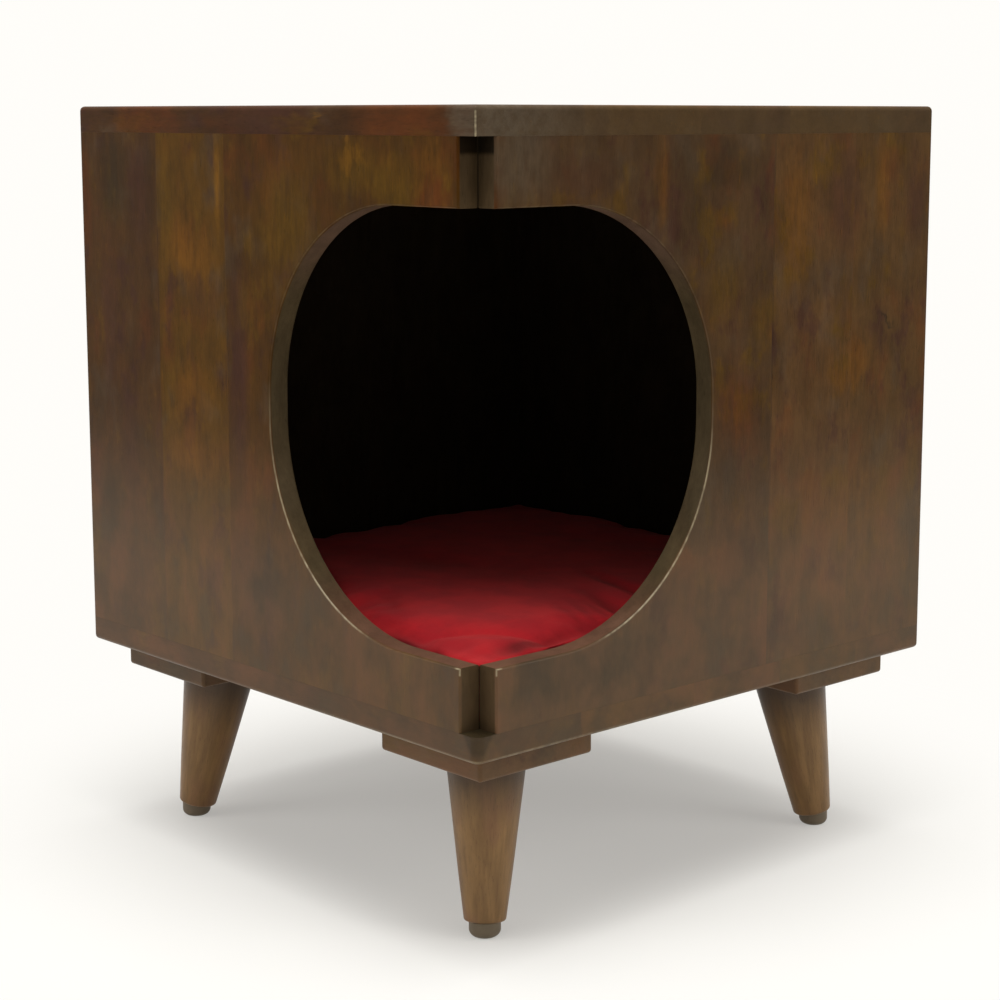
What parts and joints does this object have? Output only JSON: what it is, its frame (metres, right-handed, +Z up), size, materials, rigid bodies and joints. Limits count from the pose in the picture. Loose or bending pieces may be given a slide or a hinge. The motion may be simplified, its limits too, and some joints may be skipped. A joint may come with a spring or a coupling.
{
  "type": "pet end table",
  "caption": "Square wooden side table whose enclosed box is a pet house, with a rounded doorway cut round a corner, a loose cushion inside, and splayed turned legs.",
  "frame": {"origin": "on the floor, under the middle of the table", "axes": "+Z up; the walls lie along X and Y; the doorway is cut round the corner at +X, -Y"},
  "size_m": [0.5, 0.5, 0.61],
  "materials": {
    "walnut_lacquer": "satin lacquer over dark walnut stain",
    "leg_lacquer": "satin lacquer, golden brown",
    "red_cloth": "fine plain weave",
    "beech": "bare",
    "zinc_steel": "zinc plated",
    "brown_nylon": "moulded, matt"
  },
  "bodies": {
    "table": {"top_board": "walnut_lacquer", "bottom_board": "walnut_lacquer", "front_left_panel": "walnut_lacquer", "front_right_panel": "walnut_lacquer", "back_left_panel": "walnut_lacquer", "back_right_panel": "walnut_lacquer", "leg_block_left": "walnut_lacquer", "leg_block_front": "walnut_lacquer", "leg_block_right": "walnut_lacquer", "leg_block_back": "walnut_lacquer", "leg_left": "leg_lacquer", "leg_front": "leg_lacquer", "leg_right": "leg_lacquer", "leg_back": "leg_lacquer", "foot_glide_left": "brown_nylon", "foot_glide_front": "brown_nylon", "foot_glide_right": "brown_nylon", "foot_glide_back": "brown_nylon", "hanger_bolt_left": "zinc_steel", "hanger_bolt_front": "zinc_steel", "hanger_bolt_right": "zinc_steel", "hanger_bolt_back": "zinc_steel", "threaded_insert_left": "zinc_steel", "threaded_insert_front": "zinc_steel", "threaded_insert_right": "zinc_steel", "threaded_insert_back": "zinc_steel", "block_screw_left_1": "zinc_steel", "block_screw_left_2": "zinc_steel", "block_screw_front_1": "zinc_steel", "block_screw_front_2": "zinc_steel", "block_screw_right_1": "zinc_steel", "block_screw_right_2": "zinc_steel", "block_screw_back_1": "zinc_steel", "block_screw_back_2": "zinc_steel", "top_dowel_front_left_1": "beech", "top_dowel_front_left_2": "beech", "top_dowel_front_right_1": "beech", "top_dowel_front_right_2": "beech", "top_dowel_back_left_1": "beech", "top_dowel_back_left_2": "beech", "top_dowel_back_right_1": "beech", "top_dowel_back_right_2": "beech", "bottom_dowel_front_left_1": "beech", "bottom_dowel_front_left_2": "beech", "bottom_dowel_front_right_1": "beech", "bottom_dowel_front_right_2": "beech", "bottom_dowel_back_left_1": "beech", "bottom_dowel_back_left_2": "beech", "bottom_dowel_back_right_1": "beech", "bottom_dowel_back_right_2": "beech", "corner_dowel_left_1": "beech", "corner_dowel_left_2": "beech", "corner_dowel_back_1": "beech", "corner_dowel_back_2": "beech", "corner_dowel_right_1": "beech", "corner_dowel_right_2": "beech"},
    "cushion": {"cushion": "red_cloth"}
  },
  "joints": [
    {"name": "cushion_lift", "type": "slide", "parent": "table", "child": "cushion", "axis": [0, 0, 1], "range_m": [0, 0.12]}
  ]
}
